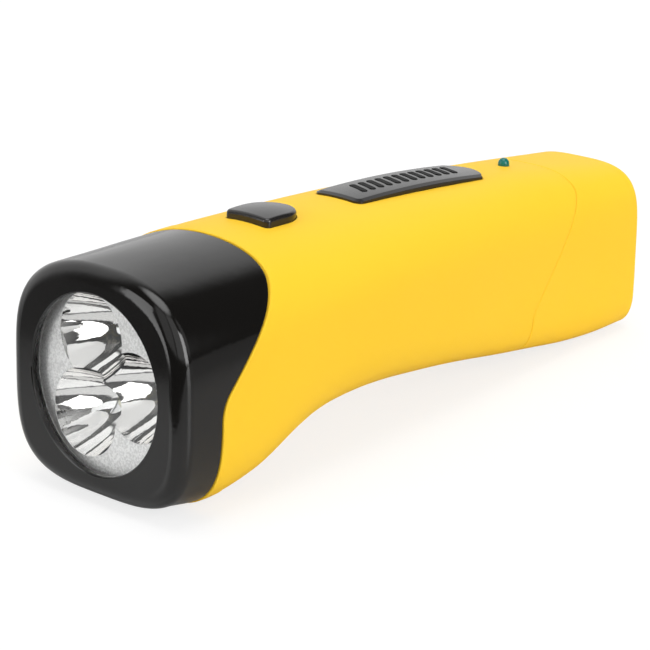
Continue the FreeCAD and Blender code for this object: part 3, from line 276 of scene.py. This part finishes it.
def brushed(name, colour, roughness, per_metre=900.0):
    """Plain metal with fine drawing marks along the torch."""
    finish = Finish(name, colour, metallic=1.0)
    marks = finish.grain(per_metre, 3.0, (1.0, 0.08, 1.0))
    finish.vary("Roughness", marks * 0.15 + roughness)
    finish.relief(marks, 0.00001)
    return finish


zinc_plate = brushed("zinc_plate", (0.62, 0.63, 0.64), 0.24)
zinc_plate.coat(*[cad_nodes[name] for name in
                  ("led_board_screws", "switch_screws", "keeper_screws", "plug_screws", "button_spring")])
tinned = brushed("tinned", (0.78, 0.78, 0.76), 0.2)
tinned.coat(*[cad_nodes[name] for name in
              ("led_leads", "charge_led_leads", "switch_pins", "battery_terminals")])


# ---- push switch ----
# The D-shaped button is gloss black ABS with a satin crown, lifted by a coil spring. Under it a
# latching switch sits on a sled that two screws hold in the barrel.
def moulded(name, colour, roughness, relief=0.00001, per_metre=2200.0):
    """Plastic or rubber with a fine even texture and slight cloudiness."""
    finish = Finish(name, colour)
    cloud = finish.grain(70.0, 3.0)
    finish.vary("Base Color", finish.blend(cloud, colour, [part * 0.8 for part in colour]))
    finish.vary("Roughness", cloud * 0.1 + (roughness - 0.05))
    finish.relief(finish.grain(per_metre, 1.0), relief)
    return finish


button_abs = moulded("button_abs", (0.016, 0.015, 0.015), 0.2, 0.000006)
button_abs.coat(cad_nodes["switch_button"])
inner_black = moulded("inner_black", (0.022, 0.022, 0.023), 0.5)
inner_black.coat(*[cad_nodes[name] for name in
                   ("switch_body", "switch_bracket", "battery_keeper", "led_resistors",
                    "rectifier_diodes", "plug_block")])
white_nylon = moulded("white_nylon", (0.75, 0.74, 0.71), 0.4)
white_nylon.coat(cad_nodes["switch_plunger"])


# ---- badge plate ----
# Gloss black ABS plate, crowned and bevelled, pressed into a recess with two pegs. A row of
# slanted bars in matt black rubber paint stands a little above it, where a badge would be.
RIB_COUNT = 12
RIB_PITCH = 0.0031
RIB_LENGTH = 0.0076
RIB_WIDTH = 0.0016
RIB_RISE = 0.00018
RIB_SLANT = math.radians(-18.0)
RIB_END = 0.45
RIB_END_STEPS = 5
RIB_CROWN = 0.9
WELD = 1e-7
ABOVE_PLATE = 0.1

badge_abs = moulded("badge_abs", (0.012, 0.011, 0.011), 0.2, 0.000004)
badge_abs.coat(cad_nodes["badge_plate"])
rib_paint = moulded("rib_paint", (0.004, 0.004, 0.004), 0.6)
rib_paint.shader.inputs["Specular IOR Level"].default_value = 0.12

plate_low, plate_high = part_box("badge_plate")
group = bpy.data.node_groups.new("rib_row", "GeometryNodeTree")
group.interface.new_socket("Geometry", in_out="OUTPUT", socket_type="NodeSocketGeometry")
for name, kind in (("Plate", "Object"), ("Count", "Int"), ("Pitch", "Float"), ("Length", "Float"),
                   ("Width", "Float"), ("Rise", "Float"), ("Slant", "Float"), ("First", "Float"),
                   ("Paint", "Material")):
    group.interface.new_socket(name, in_out="INPUT", socket_type="NodeSocket" + kind)
row = Recipe(group)
asked = row.node("NodeGroupInput", output="Count")


def vector(x=0.0, y=0.0, z=0.0):
    return row.node("ShaderNodeCombineXYZ", {}, {0: x, 1: y, 2: z})


bar = row.node("GeometryNodeCurvePrimitiveQuadrilateral", {},
               {"Width": asked.beside("Length"), "Height": asked.beside("Width")})
bar = row.node("GeometryNodeFilletCurve", {"mode": "POLY"},
               {"Curve": bar, "Count": RIB_END_STEPS, "Radius": asked.beside("Width") * RIB_END})
base = row.node("GeometryNodeFillCurve", {"mode": "NGONS"}, {"Curve": bar})
wall = row.node("GeometryNodeExtrudeMesh", {},
                {"Mesh": base, "Offset Scale": asked.beside("Rise") * 2.0, "Individual": False})
edge = row.node("GeometryNodeExtrudeMesh", {},
                {"Mesh": wall, "Selection": wall.beside("Top"),
                 "Offset Scale": asked.beside("Rise") * 0.5, "Individual": False})
rib = row.node("GeometryNodeScaleElements", {},
               {"Geometry": edge, "Selection": edge.beside("Top"), "Scale": RIB_CROWN})
under = row.node("GeometryNodeFlipFaces", {}, {"Mesh": base})
whole = row.node("GeometryNodeJoinGeometry", {}, {"Geometry": rib})
group.links.new(under.socket, whole.socket.node.inputs["Geometry"])
whole = row.node("GeometryNodeMergeByDistance", {}, {"Geometry": whole, "Distance": WELD})
places = row.node("GeometryNodeMeshLine", {"mode": "OFFSET"},
                  {"Count": asked, "Start Location": vector(y=asked.beside("First")),
                   "Offset": vector(y=asked.beside("Pitch"))})
ribs = row.node("GeometryNodeInstanceOnPoints", {},
                {"Points": places, "Instance": whole, "Rotation": vector(z=asked.beside("Slant"))})
ribs = row.node("GeometryNodeRealizeInstances", {}, {"Geometry": ribs})
across = row.node("ShaderNodeSeparateXYZ", {}, {0: row.node("GeometryNodeInputPosition")})
plate = row.node("GeometryNodeObjectInfo", {}, {"Object": asked.beside("Plate")}, "Geometry")
touch = row.node("GeometryNodeRaycast", {},
                 {"Target Geometry": plate,
                  "Source Position": vector(across, across.beside("Y"), ABOVE_PLATE),
                  "Ray Direction": (0, 0, -1), "Ray Length": 2 * ABOVE_PLATE}, "Hit Position")
surface = row.node("ShaderNodeSeparateXYZ", {}, {0: touch}, "Z")
seat = surface + across.beside("Z") - asked.beside("Rise") * 1.5
ribs = row.node("GeometryNodeSetPosition", {},
                {"Geometry": ribs, "Position": vector(across, across.beside("Y"), seat)})
ribs = row.node("GeometryNodeSetMaterial", {}, {"Geometry": ribs, "Material": asked.beside("Paint")})
group.links.new(ribs.socket, group.nodes.new("NodeGroupOutput").inputs["Geometry"])

badge_ribs = bpy.data.objects.new("badge_ribs", bpy.data.meshes.new("badge_ribs"))
bpy.context.scene.collection.objects.link(badge_ribs)
maker = badge_ribs.modifiers.new("rib_row", "NODES")
maker.node_group = group
first_rib = (plate_low[1] + plate_high[1] - RIB_PITCH * (RIB_COUNT - 1)) / 2
for name, value in (("Plate", cad_nodes["badge_plate"]), ("Count", RIB_COUNT), ("Pitch", RIB_PITCH),
                    ("Length", RIB_LENGTH), ("Width", RIB_WIDTH), ("Rise", RIB_RISE),
                    ("Slant", RIB_SLANT), ("First", first_rib), ("Paint", rib_paint.material)):
    maker[group.interface.items_tree[name].identifier] = value
made = badge_ribs.evaluated_get(bpy.context.evaluated_depsgraph_get())
badge_ribs.data = bpy.data.meshes.new_from_object(made)
badge_ribs.modifiers.clear()
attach(badge_ribs, "torch")


# ---- charge lamp ----
# Three-millimetre LED in diffused green epoxy. It stands through the roof of the barrel on its own
# flange, with its legs soldered to wires inside.
GREEN_DEEP = (0.0, 0.11, 0.105)
GREEN_PALE = (0.0, 0.19, 0.165)

green_epoxy = Finish("green_epoxy", (0.0, 0.16, 0.145), roughness=0.06, ior=1.5)
haze = green_epoxy.grain(1500.0, 2.0)
green_epoxy.vary("Base Color", green_epoxy.blend(haze, GREEN_DEEP, GREEN_PALE))
green_epoxy.coat(cad_nodes["charge_led"])


# ---- battery, charger and wires ----
# A sealed battery slides into the barrel's rails under a keeper bar, and the charger's parts are
# soldered to a board in the plug block. PVC-covered wires join them, and the blades are nickelled.
for name, colour, roughness, covered in (
        ("battery_shell", (0.05, 0.055, 0.06), 0.45, ("battery_case", "battery_lid")),
        ("black_foam", (0.02, 0.02, 0.02), 0.9, ("battery_pad",)),
        ("film_capacitor", (0.33, 0.03, 0.02), 0.3, ("dropper_capacitor",)),
        ("tan_lacquer", (0.42, 0.27, 0.13), 0.35, ("charge_resistors",)),
        ("red_pvc", (0.45, 0.012, 0.01), 0.4, ("red_wires",)),
        ("black_pvc", (0.012, 0.012, 0.012), 0.4, ("black_wires",)),
        ("blue_pvc", (0.02, 0.06, 0.3), 0.4, ("mains_wires",))):
    moulded(name, colour, roughness).coat(*[cad_nodes[node] for node in covered])

nickel = brushed("nickel", (0.70, 0.66, 0.58), 0.16)
nickel.coat(cad_nodes["plug_blades"])


# ---- camera ----
# Stands in front of the torch, to one side and a little above it, on a level tripod with its head
# turned by about a degree. The lens is long, so that the barrel narrows only slightly.
AZIMUTH, ELEVATION, ROLL = math.radians(43.43), math.radians(16.4), math.radians(1.07)
TARGET = Vector((-0.0003, 0.07574, -0.00109))
DISTANCE = 0.640
LENS_MM = 142.1
SENSOR_MM = 36.0

back = Vector((math.sin(AZIMUTH) * math.cos(ELEVATION), -math.cos(AZIMUTH) * math.cos(ELEVATION),
               math.sin(ELEVATION)))
right = Vector((math.cos(AZIMUTH), math.sin(AZIMUTH), 0.0))
up = back.cross(right)
right, up = (right * math.cos(ROLL) + up * math.sin(ROLL), up * math.cos(ROLL) - right * math.sin(ROLL))
camera = bpy.data.objects.new("camera", bpy.data.cameras.new("camera"))
camera.data.lens, camera.data.sensor_width = LENS_MM, SENSOR_MM
camera.data.clip_start, camera.data.clip_end = 0.01, 50.0
turned = Matrix((right, up, back)).transposed().to_4x4()
camera.matrix_world = Matrix.Translation(TARGET + back * DISTANCE) @ turned
bpy.context.scene.collection.objects.link(camera)
bpy.context.scene.camera = camera


# ---- floor and light ----
# White paper on a table, which the torch stands on by its bezel and its tail, in a white room with
# soft boxes. The sheet's slope is the one at which both ends of the torch touch it, and its near
# edge lies a little way in front of the lens.
STEEPEST = 0.15
HALVINGS = 30
REACH = 6.0
NEAR_EDGE = -0.09
PAPER = 0.55
# Paper shades for a painted pool of light: lighter close to the torch, darker further off.
PAINTED_POOL_BRIGHT, PAINTED_POOL_DIM = 0.74, 0.4
PAINTED_POOL_CORE, PAINTED_POOL_EDGE = 0.0015, 0.03
LIFT = 1.4
LIFTED_SHARE = 0.55
ROOM_GLOW = 0.07


def lowest(names, slope):
    return min(point.co.z - slope * point.co.y
               for name in names for point in cad_nodes[name].data.vertices)


low, high = 0.0, STEEPEST
for _ in range(HALVINGS):
    slope = (low + high) / 2
    if lowest(["bezel"], slope) < lowest(["tail_cap"], slope):
        low = slope
    else:
        high = slope
drop = lowest(["bezel", "tail_cap", "body_shell"], slope)
corners = [(x, y, slope * y + drop) for x, y in
           ((-REACH, NEAR_EDGE), (REACH, NEAR_EDGE), (REACH, REACH), (-REACH, REACH))]
table = bpy.data.meshes.new("table")
table.from_pydata(corners, [], [(0, 1, 2, 3)])
floor = bpy.data.objects.new("floor", table)
bpy.context.scene.collection.objects.link(floor)

paper = Finish("paper", (PAPER,) * 3, roughness=0.3)
sideways, ahead = paper.axis("X"), paper.axis("Y")
ahead = ahead.maths("MINIMUM", ahead, 0.0)
# Painted pool of light: the paper's colour is painted lighter near the torch and darker away from it. Only
# reflections and bounced light see it; the camera sees the evenly lifted white.
painted_light_pool = (sideways * sideways + ahead * ahead).ramp(PAINTED_POOL_CORE, PAINTED_POOL_EDGE)
paper.vary("Base Color", paper.blend(painted_light_pool, (PAINTED_POOL_BRIGHT,) * 3, (PAINTED_POOL_DIM,) * 3))
sheet = Field(paper, paper.shader.outputs[0])
matt = paper.node("ShaderNodeBsdfDiffuse", {}, {"Color": (PAPER, PAPER, PAPER, 1)})
lift = paper.node("ShaderNodeEmission", {}, {"Color": (1, 1, 1, 1), "Strength": LIFT})
lifted = paper.node("ShaderNodeMixShader", {}, {0: LIFTED_SHARE, 1: matt, 2: lift})
shown = paper.node("ShaderNodeMixShader", {},
                   {0: paper.node("ShaderNodeLightPath"), 1: sheet, 2: lifted})
paper.tree.links.new(shown.socket, paper.tree.nodes["Material Output"].inputs["Surface"])
paper.coat(floor)

room = bpy.data.worlds.new("room")
room.use_nodes = True
bpy.context.scene.world = room
studio = Recipe(room.node_tree)
towards = studio.node("ShaderNodeTexCoord", output="Generated")


def ray(azimuth, elevation):
    """Direction from angles in degrees; azimuth 0 is ahead of the lens and 90 is to its +X side."""
    a, e = math.radians(azimuth), math.radians(elevation)
    return Vector((math.sin(a) * math.cos(e), -math.cos(a) * math.cos(e), math.sin(e)))


def along(direction):
    """How far each ray of the room points along a direction, from -1 to 1."""
    return studio.node("ShaderNodeVectorMath", {"operation": "DOT_PRODUCT"}, {0: towards, 1: direction}, 1)


def soft_dome(azimuth, elevation, core, edge, radiance):
    """Round soft light, full out to core degrees from its middle and gone at edge degrees."""
    rim, middle = math.cos(math.radians(edge)), math.cos(math.radians(core))
    return along(ray(azimuth, elevation)).ramp(rim, middle, 0.0, radiance)


def soft_panel(corners, softness, radiance):
    """Straight-sided soft light between corners of azimuth and elevation, all in degrees."""
    rays = [ray(*corner) for corner in corners]
    middle, fade = sum(rays, Vector()), math.radians(softness) / 2
    share = 1.0
    for first, second in zip(rays, rays[1:] + rays[:1]):
        inward = first.cross(second).normalized()
        inward = inward if inward.dot(middle) > 0 else -inward
        share = along(inward).ramp(-fade, fade) * share
    return share * radiance


glow = (soft_dome(20, 88, 12, 26, 3.7)
        + soft_panel([(-56, -30), (-105, -45), (-176, -4), (-176, 40), (-56, 45)], 24, 0.95)
        + soft_panel([(80, 2), (100, 2), (101, 36), (81, 42)], 3, 7.0)
        + soft_panel([(38, 4), (84, 4), (84, 62), (38, 62)], 4, 1.05)
        + soft_panel([(-41, -15), (-41, 33), (-12, 41), (-24, -14)], 2, 3.1)
        + soft_panel([(-6, 3), (33, 3), (33, 60), (-6, 60)], 6, 0.75)
        + soft_panel([(104, 8), (124, 8), (124, 55), (104, 55)], 10, 0.6)
        + ROOM_GLOW)
seen = studio.node("ShaderNodeLightPath")
backdrop = studio.node("ShaderNodeMix", {"data_type": "FLOAT"}, {0: seen, 2: glow, 3: 1.0})
room.node_tree.links.new(backdrop.socket, room.node_tree.nodes["Background"].inputs["Strength"])
room.node_tree.nodes["Background"].inputs["Color"].default_value = (1, 1, 1, 1)

bpy.context.scene.view_settings.view_transform = "Standard"
